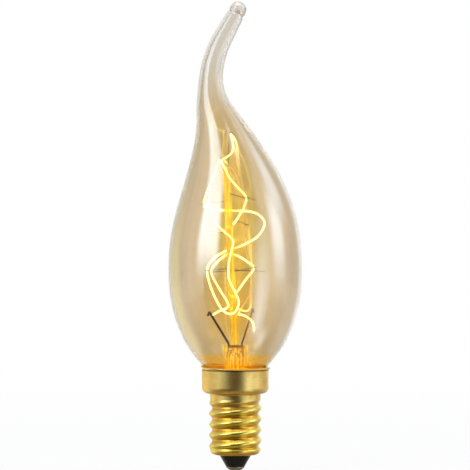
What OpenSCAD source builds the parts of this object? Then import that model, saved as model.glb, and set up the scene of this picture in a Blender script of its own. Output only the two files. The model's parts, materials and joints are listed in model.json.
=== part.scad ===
// Flame-shaped lamp bulb: drawn glass tip, wound filament on hooks, small screw cap with a skirt.
// Millimetres. +Z runs from the centre contact to the tip; the origin is the lowest point of
// the contact, on the axis of the cap. The tip leans in the XZ plane.

/* [Screw cap] */
// Diameter over the thread crests
thread_d = 13.7; // [13.4:0.05:13.9]
// Height from one thread crest to the next
thread_pitch = 2.822; // [2.7:0.01:2.95]
// Depth of the rolled thread, from crest to root
thread_depth = 0.82; // [0.6:0.02:0.9]
// Diameter of the plain band above and below the thread
band_d = 13.2; // [13:0.05:13.3]
// Thickness of the brass sheet
sheet_t = 0.3; // [0.25:0.05:0.4]
// Height of the threaded shell, from its lip to the shoulder of the skirt
shell_h = 16; // [15:0.5:18]
// Radius of the turned-in lip at the foot of the shell
lip_r = 1.5; // [1.2:0.1:1.7]
// Diameter of the skirt
skirt_d = 17.4; // [17:0.1:18]
// Height of the skirt, from its shoulder to the rim
skirt_h = 7; // [6.5:0.5:8]
// Radius of the shoulder corner
corner_r = 1.6; // [1:0.1:1.7]
// Outward spread of the rim
rim_spread = 0.44; // [0.4:0.02:0.5]
// Height of the spread part of the rim
rim_spread_h = 0.8; // [0.5:0.1:1.2]

/* [Contact end] */
// Height of the contact plate and its solder
contact_h = 1.25; // [1:0.05:1.5]
// Diameter of the contact plate
contact_d = 4.86; // [4.6:0.02:5]
// Diameter of the hole through the contact plate
contact_hole_d = 1.5; // [1.2:0.1:1.7]
// Diameter of the flat on the solder
solder_flat_d = 1.6; // [1.2:0.1:2]
// Height of the black cone between the contact plate and the shell
cone_h = 3.1; // [2.8:0.1:3.5]
// Diameter of the cone where it leaves the shell
cone_d = 8.4; // [8:0.1:8.6]
// Height of the insulator inside the shell
plug_h = 4.2; // [3:0.2:5]

/* [Glass] */
// Diameter of the bulb at its widest
belly_d = 35; // [32:0.5:36]
// Height of the widest place above the rim of the cap
belly_rise = 24.6; // [23:0.2:27]
// Gap between the neck and the skirt, filled with cement
neck_gap = 1.6; // [1.4:0.05:1.8]
// Diameter of the drawn tip where it grows out of the bulb
tip_foot_d = 7; // [6.4:0.1:7.4]
// Diameter of the drawn tip at its sealed end
tip_d = 4.4; // [4.2:0.1:5]
// Glass thickness of the bulb
glass_t = 0.7; // [0.5:0.05:0.9]
// Glass thickness of the drawn tip
tip_t = 1.1; // [0.9:0.05:1.3]
// Length over which the bulb narrows to the tip
shoulder_l = 53; // [50:0.5:57]
// Straight length above the widest place, before the bulb leans
straight_h = 9; // [8:0.5:12]
// Angle by which the tip leans to one side
lean_a = 18; // [15:0.5:21]
// Radius of the bend that leans the tip
lean_bend_r = 105; // [95:1:115]
// Angle by which the tip curls back
curl_a = 46.5; // [40:0.5:50]
// Radius of the curl
curl_bend_r = 25; // [23:1:30]
// Straight run at the end of the tip
tip_run = 8.5; // [6:0.1:10]
// Length of solid glass in the sealed end
tip_plug_l = 2.2; // [1.5:0.1:3]

/* [Stem] */
// Diameter of the stem tube
stem_d = 5.7; // [5.5:0.1:6]
// Glass thickness of the stem tube
stem_t = 0.75; // [0.6:0.05:0.8]
// Height of the pinched top of the stem above the rim of the cap
press_rise = 5.7; // [5:0.1:7]
// Height of the pinch
press_h = 3.6; // [3.4:0.1:4.4]
// Thickness of the pinch
press_t = 2.6; // [2.5:0.1:3]
// Width of the pinch, which spreads wider than the tube
press_w = 6.7; // [6.2:0.1:7]
// Diameter of the exhaust tube
exhaust_d = 2.2; // [2:0.1:2.4]
// Glass thickness of the exhaust tube
exhaust_t = 0.45; // [0.4:0.05:0.6]
// Length of the exhaust tube below the pinch
exhaust_l = 16.4; // [14:0.2:17]
// Diameter of the glass rod that carries the hooks
rod_d = 2.1; // [1.8:0.1:2.3]
// Length of the rod above the pinch
rod_l = 46.5; // [45:0.5:48]
// Angle by which the rod leans
rod_lean_a = 2.8; // [0:0.2:4]
// Depth of the rod in the pinch
rod_depth = 2.2; // [1.5:0.1:2.4]

/* [Wires] */
// Diameter of the wound filament
filament_d = 0.4; // [0.3:0.02:0.44]
// Diameter of the hook wires
hook_d = 0.2; // [0.16:0.02:0.26]
// Radius of the eye at the end of a hook
eye_r = 0.5; // [0.46:0.02:0.6]
// Diameter of the wires that hold the ends of the filament
lead_d = 0.46; // [0.4:0.02:0.5]
// Diameter of the copper wires in the cap
tail_d = 0.3; // [0.26:0.02:0.34]
// Diameter of the fuse wire
fuse_d = 0.16; // [0.12:0.02:0.2]
// Length of the fuse wire
fuse_l = 5; // [4:0.5:6]
// Distance of each wire from the axis in the pinch
lead_x = 1.72; // [1.68:0.01:1.74]

/* [Hidden] */

// Clearance between pieces that nest in one another
fit = 0.05;
// Distance by which a joined surface runs into its neighbour in one piece
bite = 0.03;
// Sides of the swept glass and of the swept thread
glass_sides = 36;
thread_sides = 36;
// Thread rings for each turn
rings_per_turn = 8;

thread_r = thread_d / 2;
root_r = thread_r - thread_depth;
band_r = band_d / 2;
skirt_r = skirt_d / 2;
belly_r = belly_d / 2;
neck_r = skirt_r - sheet_t - neck_gap;
tip_foot_r = tip_foot_d / 2;
tip_r = tip_d / 2;
stem_r = stem_d / 2;
// Overrun of a cut past the face that it opens
over = 1;

// Heights up the axis
shell_z = contact_h + cone_h;
skirt_z = shell_z + shell_h;
rim_z = skirt_z + skirt_h;
belly_z = rim_z + belly_rise;
press_top_z = rim_z + press_rise;
press_z = press_top_z - press_h;
// The seal wires lie inside the pinch and stop short of both its ends
seal_wire_z = press_z + 0.5;
seal_wire_top_z = press_top_z - 0.3;
seal_wire_d = 0.4;
// The side lead passes between the shoulder of the skirt and the foot of the stem
lead_gap = 0.15;
under_foot_z = skirt_z + sheet_t + lead_gap + tail_d / 2;
foot_z = under_foot_z + tail_d / 2 + lead_gap;
foot_t = 0.8;
neck_z = foot_z + foot_t;

// Glass outline: an ellipse below the belly melts into the neck, and a cosine shoulder
// narrows to the tip, which tapers a little more. Lengths s are measured from the belly.
melt = 6;
mouth_r = skirt_r - sheet_t - fit;
mouth_ellipse_r = pow(pow(mouth_r, melt) - pow(neck_r, melt), 1 / melt);
ellipse_h = belly_rise / sqrt(1 - pow(mouth_ellipse_r / belly_r, 2));
shoulder_fullness = 1.18;
taper_power = 3.5;
neck_s = neck_z - belly_z;
curl_s = straight_h + lean_bend_r * lean_a * PI / 180;
run_s = curl_s + curl_bend_r * curl_a * PI / 180;
end_s = run_s + tip_run;

function below_r(z) =
    let (share = max(0, 1 - pow((belly_z - z) / ellipse_h, 2)))
    pow(pow(belly_r * sqrt(share), melt) + pow(neck_r, melt), 1 / melt);

// Share of the shoulder that is left at a length along the bulb
function shoulder(s) =
    s <= 0 ? 1 : (1 + cos(180 * pow(min(1, s / shoulder_l), shoulder_fullness))) / 2;

function above_r(s) =
    let (tube_r = tip_foot_r + (tip_r - tip_foot_r) * pow(s / end_s, taper_power))
    tube_r + (below_r(belly_z) - tube_r) * shoulder(s);

function glass_r(s) = s < 0 ? below_r(belly_z + s) : above_r(s);

// The wall is measured square to the outline, so it is thicker across a slope
function glass_wall(s) =
    let (
        slope = (glass_r(s + 0.05) - glass_r(s - 0.05)) / 0.1,
        t = tip_t + (glass_t - tip_t) * shoulder(s)
    )
    t * sqrt(1 + slope * slope);

// Centre line of the bulb, as [x, z, angle towards +X]: it leans towards -X and curls back
function lean_point(a) =
    [-lean_bend_r * (1 - cos(a)), belly_z + straight_h + lean_bend_r * sin(a)];
function curl_point(a) =
    lean_point(lean_a) + curl_bend_r * [cos(lean_a) - cos(a), sin(lean_a) + sin(a)];
function centre(s) =
    s <= straight_h ? [0, belly_z + s, 0]
    : s <= curl_s ?
        let (a = (s - straight_h) / lean_bend_r * 180 / PI, p = lean_point(a))
        [p.x, p.y, -a]
    : s <= run_s ?
        let (a = (s - curl_s) / curl_bend_r * 180 / PI - lean_a, p = curl_point(a))
        [p.x, p.y, a]
    :
        let (a = curl_a - lean_a, p = curl_point(a) + (s - run_s) * [sin(a), cos(a)])
        [p.x, p.y, a];

// One ring of the bulb, lifted along the centre line from the place s
function glass_ring(s, r, lift = 0) =
    let (c = centre(s), a = c[2])
    [for (j = [0:glass_sides - 1])
        let (t = 360 * j / glass_sides)
        [c.x + r * cos(t) * cos(a) + lift * sin(a), r * sin(t),
            c.y - r * cos(t) * sin(a) + lift * cos(a)]];

// Places of the rings, closer together where the glass meets the neck
neck_zone_s = rim_z + 2 - belly_z;
neck_steps = 8;
body_steps = 9;
tip_steps = 26;
function between(a, b, n) = [for (i = [0:n - 1]) a + (b - a) * i / n];
function ring_places(top_s) =
    concat(between(neck_s, neck_zone_s, neck_steps), between(neck_zone_s, 0, body_steps),
        between(0, top_s, tip_steps), [top_s]);

// Steps of a ball end, as [share of the radius along the axis, share across]
end_steps = 5;
last_step_a = 86;
ball_end = [for (i = [1:end_steps]) let (a = last_step_a * i / end_steps) [sin(a), cos(a)]];

// Joins rings of equal count into one solid, capped at both ends or closed into a loop
module skin(rings, loop = false) {
    n = len(rings[0]);
    m = len(rings);
    last = loop ? m - 1 : m - 2;
    points = [for (ring = rings) each ring];
    sides = [for (i = [0:last], j = [0:n - 1])
        let (k = (i + 1) % m, a = i * n + j, b = i * n + (j + 1) % n,
            c = k * n + (j + 1) % n, d = k * n + j)
        each [[a, d, c], [a, c, b]]];
    ends = loop ? [] : [[for (j = [0:n - 1]) j], [for (j = [n - 1:-1:0]) (m - 1) * n + j]];
    polyhedron(points, concat(sides, ends), convexity = 6);
}

// Points of an arc in a profile
function arc(c, r, a0, a1, n = 8) =
    [for (i = [0:n]) let (a = a0 + (a1 - a0) * i / n) c + r * [cos(a), sin(a)]];

// A straight round wire from one point to another
module bar(p, q, d) {
    v = q - p;
    translate(p)
        rotate([0, acos(v.z / norm(v)), atan2(v.y, v.x)])
            cylinder(d = d, h = norm(v), $fn = 24);
}

// A bent round wire. A joint is slightly fuller than the wire, so that the surfaces cross.
joint_swell = 1.06;
module joint(p, d) { translate(p) sphere(d = d * joint_swell, $fn = 24); }
module wire(points, d) {
    for (i = [0:len(points) - 2]) bar(points[i], points[i + 1], d);
    for (i = [1:1:len(points) - 2]) joint(points[i], d);
}

// Glass

// The bore of the tip ends in a dome below the solid end
module glass_envelope() {
    bore_end_s = end_s + tip_t - tip_plug_l;
    bore_end_r = glass_r(bore_end_s) - glass_wall(bore_end_s);
    bore_places = ring_places(bore_end_s);
    cavity = concat(
        [for (i = [end_steps - 1:-1:0])
            glass_ring(bore_end_s, bore_end_r * ball_end[i].y, bore_end_r * ball_end[i].x)],
        [for (i = [len(bore_places) - 1:-1:0])
            let (s = bore_places[i]) glass_ring(s, glass_r(s) - glass_wall(s))]);
    outside = concat(
        [for (s = ring_places(end_s)) glass_ring(s, glass_r(s))],
        [for (step = ball_end) glass_ring(end_s, tip_r * step.y, tip_r * step.x)]);
    color([0.93, 0.86, 0.7, 0.4]) skin(concat(cavity, outside));
}

// The stem tube flares to a foot that is sealed to the neck, and its top is pinched flat
neck_inner_r = neck_r - glass_wall(neck_s);
flare_top_z = press_z - 1.2;
flare_reach = neck_inner_r - fit - stem_r;
flare_steps = 10;
// The wall of the tube runs into the pinch by this much
seam_t = 0.1;
function flare(r) =
    [for (i = [0:flare_steps])
        let (u = i / flare_steps)
        [r + flare_reach * (1 - sqrt(1 - u * u)), flare_top_z - u * (flare_top_z - neck_z)]];

module stem_tube() {
    bore_r = stem_r - stem_t;
    seam_r = stem_r - seam_t;
    edge_r = foot_t / 2;
    edge = arc([neck_r - edge_r, foot_z + edge_r], edge_r, 0, -90);
    bore = flare(bore_r);
    rotate_extrude($fn = 64) polygon(concat(
        [[seam_r, press_z + seam_t], [seam_r, press_z], [stem_r, press_z]],
        flare(stem_r), [[neck_r, neck_z]], edge,
        [[bore_r + flare_reach, foot_z]], [for (i = [flare_steps:-1:0]) bore[i]],
        [[bore_r, press_z + seam_t]]));
}

// The pinch goes from round to flat, and its flat part has half-round edges
module press_blank() {
    flat_z = press_z + 1.6;
    edge_r = press_t / 2;
    hull() {
        translate([0, 0, press_z]) cylinder(r = stem_r, h = 2 * seam_t, $fn = 32);
        for (side = [-1, 1])
            translate([side * (press_w / 2 - edge_r), 0, flat_z])
                cylinder(r = edge_r, h = press_top_z - flat_z, $fn = 32);
    }
}

// The port joins the exhaust tube to the inside of the bulb
exhaust_bore_d = exhaust_d - 2 * exhaust_t;
module exhaust_port() {
    port_d = 0.9;
    port_z = press_z + 0.75;
    bar([0, 0, press_z - over], [0, 0, port_z], exhaust_bore_d);
    bar([0, 0, port_z], [0, stem_r + over, port_z], port_d);
}

function lead_at(side, z) = [side * lead_x, 0, z];

module flare_stem() {
    color([0.9, 0.85, 0.6, 0.6]) union() {
        stem_tube();
        difference() {
            press_blank();
            for (side = [-1, 1]) {
                bar(lead_at(side, press_z - over), lead_at(side, seal_wire_top_z), seal_wire_d);
                bar(lead_at(side, seal_wire_top_z), lead_at(side, press_top_z + over), lead_d);
            }
            rod_blank();
            exhaust_port();
        }
    }
}

// The lower end of the exhaust tube is melted shut
exhaust_end_z = press_z - exhaust_l;
module exhaust_tube() {
    outer_r = exhaust_d / 2;
    bore_r = exhaust_bore_d / 2;
    end_t = 1;
    color([0.9, 0.88, 0.8, 0.6]) rotate_extrude($fn = 48) polygon(concat(
        [[bore_r, press_z], [bore_r, exhaust_end_z + end_t + bore_r]],
        [[0, exhaust_end_z + end_t], [0, exhaust_end_z]],
        arc([0, exhaust_end_z + outer_r], outer_r, -80, 0), [[outer_r, press_z]]));
}

// The rod leans about its foot in the pinch
rod_foot = [0, 0, press_top_z - rod_depth];
rod_dir = [-sin(rod_lean_a), 0, cos(rod_lean_a)];
rod_reach = rod_l + rod_depth;
function rod_at(z) = rod_foot + rod_dir * (z - rod_foot.z) / cos(rod_lean_a);
rod_top = rod_foot + rod_dir * rod_reach;

module rod_blank() {
    edge_r = 0.4;
    edge = arc([rod_d / 2 - edge_r, rod_reach - edge_r], edge_r, 0, 90);
    translate(rod_foot)
        rotate([0, -rod_lean_a, 0])
            rotate_extrude($fn = 48)
                polygon(concat([[0, 0], [rod_d / 2, 0]], edge, [[0, rod_reach]]));
}

module arbor_rod() {
    color([0.95, 0.8, 0.4, 0.7]) difference() {
        rod_blank();
        for (h = HOOKS) shank(h);
    }
}

// Places where a hook holds the filament, as [x, y, z] from the top of the pinch.
// -Y faces the viewer.
crown_eye = [-1.1, 0.2, 54.9];
top_eye = [-3.5, -1.9, 47.8];
upper_left_eye = [-8.2, -0.4, 36.5];
upper_right_eye = [2.8, -3.0, 38.4];
middle_left_eye = [-8.1, 0.6, 29.7];
middle_back_eye = [3.1, 6.7, 31.3];
lower_left_eye = [-6.2, -2.6, 18.9];
lower_front_eye = [-7.3, -4.2, 19.4];
lower_right_eye = [4.8, -3.4, 20.1];
lower_back_eye = [4.1, 4.6, 19.3];

// Route of the filament from the left lead to the right one, by way of every eye
ROUTE = [
    [-5.8, -2.1, 8.0], [-4.0, -3.0, 9.0], [-1.8, -3.8, 10.4], [-3.9, -3.8, 14.3],
    lower_left_eye, [-4.6, -1.0, 21.7], [-2.0, 1.8, 23.6], [0.2, 1.6, 23.4],
    [2.8, -1.8, 21.9], lower_right_eye, [2.8, -2.6, 17.2], [0.9, 0.9, 14.4],
    [-0.9, 2.6, 12.4], [-1.4, 3.5, 11.0], [-0.8, 3.6, 9.8], [0.8, 2.6, 9.3],
    [3.4, 2.2, 8.9], [4.3, 3.4, 12.0], lower_back_eye, [3.0, 5.0, 23.4],
    [2.3, 5.4, 27.6], [2.0, 5.4, 32.2], [2.3, 5.0, 36.6], [2.0, 4.4, 41.0],
    [1.2, 3.8, 45.6], [0.7, 2.8, 50.0], [0.2, 1.4, 53.0], crown_eye,
    [-0.6, -1.2, 52.6], [-0.7, -2.0, 50.4], [-2.0, -1.7, 49.0], top_eye,
    [-2.5, -3.7, 45.6], [-1.4, -4.2, 43.3], [0.4, -4.2, 41.2], upper_right_eye,
    [2.2, -3.3, 35.8], [1.0, -2.2, 33.7], [-0.3, 0.8, 31.8], [-2.4, 3.0, 30.2],
    [-5.6, 2.4, 29.2], middle_left_eye, [-8.0, 1.0, 33.4], [-7.2, 0.0, 37.0],
    [-6.9, -1.2, 37.0], [-6.4, -2.0, 34.4], [-5.2, -3.0, 32.0], [-3.4, -4.0, 30.0],
    [-0.7, -4.5, 27.5], [-0.8, -4.8, 25.3], [-1.6, -5.0, 21.6], [-1.7, -5.0, 17.5],
    [-0.2, -5.0, 14.1], [0.9, -4.8, 11.2], [-0.4, -4.9, 8.4], [-3.2, -5.0, 9.1],
    [-5.8, -5.0, 13.8],
    lower_front_eye, [-5.6, -2.4, 22.5], [-3.0, 0.6, 24.2], [-1.4, 3.2, 25.0],
    [0.7, 2.4, 25.5], [3.3, -1.4, 26.7], [5.9, -3.9, 28.4], [7.6, -4.5, 31.5],
    [6.2, -4.4, 33.8], [3.6, -2.2, 34.8], [0.8, 1.3, 35.0], [-2.0, 2.4, 35.1],
    [-4.6, -1.0, 35.2], [-6.6, -3.3, 35.4], upper_left_eye, [-7.4, 0.8, 39.9], [-5.8, 0.2, 43.5],
    [-4.2, 0.8, 47.8], [-2.6, 2.6, 47.7], [-0.6, 4.6, 45.6], [1.2, 5.8, 41.5],
    [2.5, 6.4, 36.5], middle_back_eye, [3.3, 6.4, 26.0], [3.8, 6.0, 21.6],
    [4.2, 5.0, 15.6], [3.4, 5.4, 12.2], [1.6, 4.4, 9.4], [0.9, 2.2, 8.0],
    [2.2, 0.8, 7.7], [3.5, 0.25, 7.0], [4.6, -0.3, 5.8], [4.9, -0.4, 3.6]
];
function place(p) = p + [0, 0, press_top_z];
function number_of(p) = [for (i = [0:len(ROUTE) - 1]) if (ROUTE[i] == p) i][0];
function heading_at(p) = let (i = number_of(p)) ROUTE[i + 1] - ROUTE[i - 1];

// Each hook as [root in the rod, eye, tail past the eye]. Two rise from the end of the rod:
// their roots lie inside it by end_cover, and below the lower of the two eyes by end_drop.
end_cover = 2;
end_drop = 3.4;
top_root = rod_at(min(rod_top.z - end_cover, place(top_eye).z - end_drop));
root_offset = [0.4, 0.2, 0];
function side_hook(eye, lift, tail = 0) = [rod_at(place(eye).z + lift), eye, tail];
crown = [top_root + root_offset, crown_eye, 0];
top = [top_root - root_offset, top_eye, 1.4];
upper_left = side_hook(upper_left_eye, 1);
upper_right = side_hook(upper_right_eye, 1.2, 2.6);
middle_left = side_hook(middle_left_eye, -0.4);
middle_back = side_hook(middle_back_eye, 1.7);
lower_left = side_hook(lower_left_eye, 0.4);
lower_front = side_hook(lower_front_eye, 0.5);
lower_right = side_hook(lower_right_eye, -1.1);
lower_back = side_hook(lower_back_eye, 0.3, 4.8);
HOOKS = [
    crown, top, upper_left, upper_right, middle_left,
    middle_back, lower_left, lower_front, lower_right, lower_back
];
function hook_run(h) = place(h[1]) - h[0];
function shank_l(h) = sqrt(pow(norm(hook_run(h)), 2) - eye_r * eye_r);
eye_open_a = 80;

// Turns a hook towards its eye, and the eye square to the filament. The shank meets the eye
// as a tangent.
module aim(h) {
    run = hook_run(h);
    tilt = acos(run.z / norm(run));
    swing = atan2(run.y, run.x);
    go = heading_at(h[1]);
    eye_x = [cos(tilt) * cos(swing), cos(tilt) * sin(swing), -sin(tilt)];
    eye_y = [-sin(swing), cos(swing), 0];
    translate(h[0])
        rotate([0, tilt, swing])
            rotate([0, 0, atan2(go * eye_y, go * eye_x)])
                rotate([asin(eye_r / norm(run)), 0, 0]) children();
}

module shank(h) {
    aim(h) cylinder(d = hook_d, h = shank_l(h), $fn = 24);
}

module hook(h) {
    color([0.3, 0.26, 0.22]) union() {
        shank(h);
        aim(h) joint([0, 0, shank_l(h)], hook_d);
        aim(h) translate([0, eye_r, shank_l(h)]) {
            rotate([0, 90, 0])
                rotate([0, 0, eye_open_a - 90])
                    rotate_extrude(angle = 360 - eye_open_a, $fn = 32)
                        translate([eye_r, 0]) circle(d = hook_d, $fn = 24);
            if (h[2] > 0) translate([0, 0, eye_r]) cylinder(d = hook_d, h = h[2], $fn = 24);
        }
    }
}
module crown_hook() { hook(crown); }
module top_hook() { hook(top); }
module upper_left_hook() { hook(upper_left); }
module upper_right_hook() { hook(upper_right); }
module middle_left_hook() { hook(middle_left); }
module middle_back_hook() { hook(middle_back); }
module lower_left_hook() { hook(lower_left); }
module lower_front_hook() { hook(lower_front); }
module lower_right_hook() { hook(lower_right); }
module lower_back_hook() { hook(lower_back); }

// A smooth curve through the route, and a tube swept along it without twist
function bend(p0, p1, p2, p3, t) =
    0.5 * (2 * p1 + t * (p2 - p0) + t * t * (2 * p0 - 5 * p1 + 4 * p2 - p3)
        + t * t * t * (3 * p1 - p0 - 3 * p2 + p3));
steps_per_span = 4;
function smooth_route(p) =
    let (n = len(p))
    concat(
        [for (i = [0:n - 2], k = [0:steps_per_span - 1])
            bend(p[max(0, i - 1)], p[i], p[i + 1], p[min(n - 1, i + 2)], k / steps_per_span)],
        [p[n - 1]]);
function unit(v) = v / norm(v);
function heading(p, i) = unit(p[min(len(p) - 1, i + 1)] - p[max(0, i - 1)]);
function across(v, t) = unit(v - (v * t) * t);
function tube_rings(p, r, sides) =
    let (
        n = len(p),
        side = [for (i = 0, v = across([0, 1, 0], heading(p, 0)); i < n;
            i = i + 1, v = i < n ? across(v, heading(p, i)) : v) v]
    )
    [for (i = [0:n - 1])
        let (u = side[i], w = cross(heading(p, i), u))
        [for (j = [0:sides - 1]) let (a = 360 * j / sides) p[i] + r * (cos(a) * u + sin(a) * w)]];

centres = smooth_route([for (p = ROUTE) place(p)]);
filament_sides = 6;
// Least gap of the filament to itself, between places that aren't neighbours on it
near_steps = 2 * steps_per_span;
least_gap = min([for (i = [0:len(centres) - 1], k = [i + near_steps:1:len(centres) - 1])
    norm(centres[i] - centres[k])]) - filament_d;
echo(least_gap_of_the_filament_to_itself = least_gap);

module filament() {
    color("gold") skin(tube_rings(centres, filament_d / 2, filament_sides));
}

// Leads

// The inner leads splay to the ends of the filament, and their tips are bent over
left_lead_top = [-6.75, -2.1, 8.7];
right_lead_top = [4.6, 1.2, 9.3];
left_lead_tip = [-0.4, -0.1, -1.1];
right_lead_tip = [0.3, 0.3, -0.9];
knee_z = press_top_z + 0.3;
module inner_lead(side, top, tip) {
    wire([lead_at(side, seal_wire_top_z), lead_at(side, knee_z), place(top), place(top + tip)],
        lead_d);
}
module left_inner_lead() {
    color([0.3, 0.15, 0.1]) inner_lead(-1, left_lead_top, left_lead_tip);
}
module right_inner_lead() {
    color([0.4, 0.3, 0.2]) inner_lead(1, right_lead_top, right_lead_tip);
}

module seal_wire(side) {
    color([0.6, 0.25, 0.15])
        bar(lead_at(side, seal_wire_z), lead_at(side, seal_wire_top_z), seal_wire_d);
}
module left_seal_wire() { seal_wire(-1); }
module right_seal_wire() { seal_wire(1); }

// The side lead runs under the foot of the stem and up behind the neck to the rim
rim_lead_y = skirt_r + rim_spread - sheet_t - tail_d / 2 - fit / 2;
module side_lead_wire() {
    spread_l = 0.8;
    behind_neck_y = (neck_r + skirt_r - sheet_t) / 2;
    bend_y = (behind_neck_y + rim_lead_y) / 2;
    wire([
        lead_at(-1, seal_wire_z), lead_at(-1, under_foot_z), [0, behind_neck_y, under_foot_z],
        [0, behind_neck_y, rim_z - 2 * spread_l], [0, bend_y, rim_z - spread_l],
        [0, rim_lead_y, rim_z + fit]
    ], tail_d);
}
module side_lead() { color([0.75, 0.4, 0.25]) side_lead_wire(); }

// The other lead has the fuse in it, then passes beside the exhaust tube to the contact
fuse_top_z = press_z - 2.2;
fuse_end_z = fuse_top_z - fuse_l;
lead_end_z = contact_h * 0.45;
plug_z = shell_z + plug_h;
module fuse_lead() {
    color([0.75, 0.4, 0.25]) bar(lead_at(1, seal_wire_z), lead_at(1, fuse_top_z), tail_d);
}
module fuse_wire() {
    color("silver") bar(lead_at(1, fuse_top_z), lead_at(1, fuse_end_z), fuse_d);
}
module contact_lead() {
    color([0.75, 0.4, 0.25]) wire([
        lead_at(1, fuse_end_z), lead_at(1, exhaust_end_z), [0, 0, plug_z + 0.8], [0, 0, lead_end_z]
    ], tail_d);
}

// Cap

// The thread is rolled into the shell, right-handed, and fades into the band at both ends
thread_z = shell_z + lip_r - 0.15;
thread_top_z = skirt_z - 1.1;
run_in = 0.7;
run_out = 1.9;
first_crest_z = shell_z + 0.85;
function ease(t) = let (u = max(0, min(1, t))) u * u * (3 - 2 * u);
function thread_share(z) = ease((z - thread_z) / run_in) * ease((thread_top_z - z) / run_out);
function shell_r(z, a) =
    let (
        wave = (1 + cos(360 * (z - first_crest_z) / thread_pitch - a)) / 2,
        share = thread_share(z)
    )
    band_r * (1 - share) + (root_r + thread_depth * wave) * share;
function shell_ring(z, inset) =
    [for (j = [0:thread_sides - 1])
        let (a = 360 * j / thread_sides, r = shell_r(z, a) - inset)
        [r * cos(a), r * sin(a), z]];

module thread_tube() {
    n = round((thread_top_z - thread_z) / thread_pitch * rings_per_turn);
    heights = [for (i = [0:n]) thread_z + (thread_top_z - thread_z) * i / n];
    outside = [for (z = heights) shell_ring(z, 0)];
    inside = [for (i = [n:-1:0]) shell_ring(heights[i], sheet_t)];
    skin(concat(outside, inside), loop = true);
}

// The sleeves of the skirt and of the lip hold the ends of the thread
sleeve_l = 0.15;
sleeve_r = band_r + bite;
sleeve_bore_r = band_r - sheet_t - bite;
spread_z = rim_z - rim_spread_h;
module skirt() {
    join_z = thread_top_z - sleeve_l;
    corner = [skirt_r - corner_r, skirt_z + corner_r];
    rotate_extrude($fn = 96) polygon(concat(
        [[sleeve_r, join_z], [sleeve_r, skirt_z]],
        arc(corner, corner_r, -90, 0),
        [[skirt_r, spread_z], [skirt_r + rim_spread, rim_z]],
        [[skirt_r + rim_spread - sheet_t, rim_z], [skirt_r - sheet_t, spread_z]],
        arc(corner, corner_r - sheet_t, 0, -90),
        [[sleeve_bore_r, skirt_z + sheet_t], [sleeve_bore_r, join_z]]));
}

lip_corner = [sleeve_r - lip_r, shell_z + lip_r];
lip_bend_r = sleeve_bore_r - lip_corner.x;
module lip() {
    join_z = thread_z + sleeve_l;
    hole_r = cone_d / 2 + fit;
    rotate_extrude($fn = 96) polygon(concat(
        [[sleeve_bore_r, join_z]],
        arc(lip_corner, lip_bend_r, 0, -90),
        [[hole_r, lip_corner.y - lip_bend_r], [hole_r, shell_z]],
        arc(lip_corner, lip_r, -90, 0),
        [[sleeve_r, join_z]]));
}

module cap_shell() {
    color([0.8, 0.68, 0.4]) union() {
        thread_tube();
        skirt();
        lip();
    }
}

// The insulator is a cone outside the shell and a dished plug inside it
module cap_insulator() {
    wire_hole_r = 0.65;
    dish_r = 1.8;
    dish_h = 1.6;
    wall_t = 1.2;
    plug_r = root_r - sheet_t - fit;
    plug_bend_r = lip_bend_r - fit;
    bend = [for (p = arc(lip_corner, plug_bend_r, -90, 0)) [min(p.x, plug_r), p.y]];
    color([0.04, 0.04, 0.04]) rotate_extrude($fn = 64) polygon(concat(
        [[wire_hole_r, contact_h], [contact_d / 2, contact_h], [cone_d / 2, shell_z]],
        [[cone_d / 2, lip_corner.y - plug_bend_r]], bend,
        [[plug_r, plug_z], [plug_r - wall_t, plug_z], [dish_r, plug_z - dish_h]],
        [[wire_hole_r, plug_z - dish_h]]));
}

// The contact plate has a short wall and a conical face, pierced for the lead
plate_z = contact_h * 0.32;
hole_r = contact_hole_d / 2;
module contact_plate() {
    plate_r = contact_d / 2;
    wall_h = 0.22;
    face_w = 0.8;
    color([0.75, 0.72, 0.66]) rotate_extrude($fn = 64) polygon([
        [hole_r, contact_h], [plate_r, contact_h], [plate_r - fit, contact_h - wall_h],
        [plate_r - face_w, plate_z], [hole_r, plate_z]
    ]);
}

// The solder fills the hole of the plate and spreads below it round the end of the lead
module contact_solder() {
    flat_r = solder_flat_d / 2;
    spread_r = contact_d / 2 - 0.95;
    shoulder = [spread_r - 0.2, plate_z * 0.35];
    color([0.62, 0.62, 0.62]) difference() {
        rotate_extrude($fn = 64) polygon([
            [0, 0], [flat_r, 0], shoulder, [spread_r, plate_z],
            [hole_r, plate_z], [hole_r, contact_h], [0, contact_h]
        ]);
        bar([0, 0, lead_end_z], [0, 0, contact_h + over], tail_d);
    }
}

// A blob of solder at the back joins the side lead to the rim. It follows the rim, and stays
// clear of the glass and above the straight wall of the skirt.
module side_solder() {
    solder_r = 0.62;
    drop = 0.1;
    rim_r = skirt_r + rim_spread;
    clear = fit / 2;
    lap = sheet_t + tail_d;
    low_z = rim_z - 3 * solder_r;
    high_z = rim_z + 2 * solder_r;
    color([0.62, 0.62, 0.62]) difference() {
        translate([0, rim_r + clear, rim_z - drop]) sphere(r = solder_r, $fn = 32);
        rotate_extrude($fn = 96) polygon([
            [0, low_z], [skirt_r + clear, low_z], [skirt_r + clear, spread_z],
            [rim_r + clear, rim_z + clear], [rim_r - lap, rim_z + clear],
            [rim_r, high_z], [0, high_z]
        ]);
        side_lead_wire();
    }
}

// The cement fills the ring between the neck and the skirt
module capping_cement() {
    floor_z = neck_z - 0.2;
    top_z = rim_z - 0.25;
    wall_r = skirt_r - sheet_t - fit;
    heights = concat(between(floor_z, top_z, 10), [top_z]);
    color([0.8, 0.6, 0.3]) difference() {
        rotate_extrude($fn = 96) polygon(concat(
            [for (z = heights) [below_r(z) + fit, z]], [[wall_r, spread_z], [wall_r, floor_z]]));
        side_lead_wire();
    }
}

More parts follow.
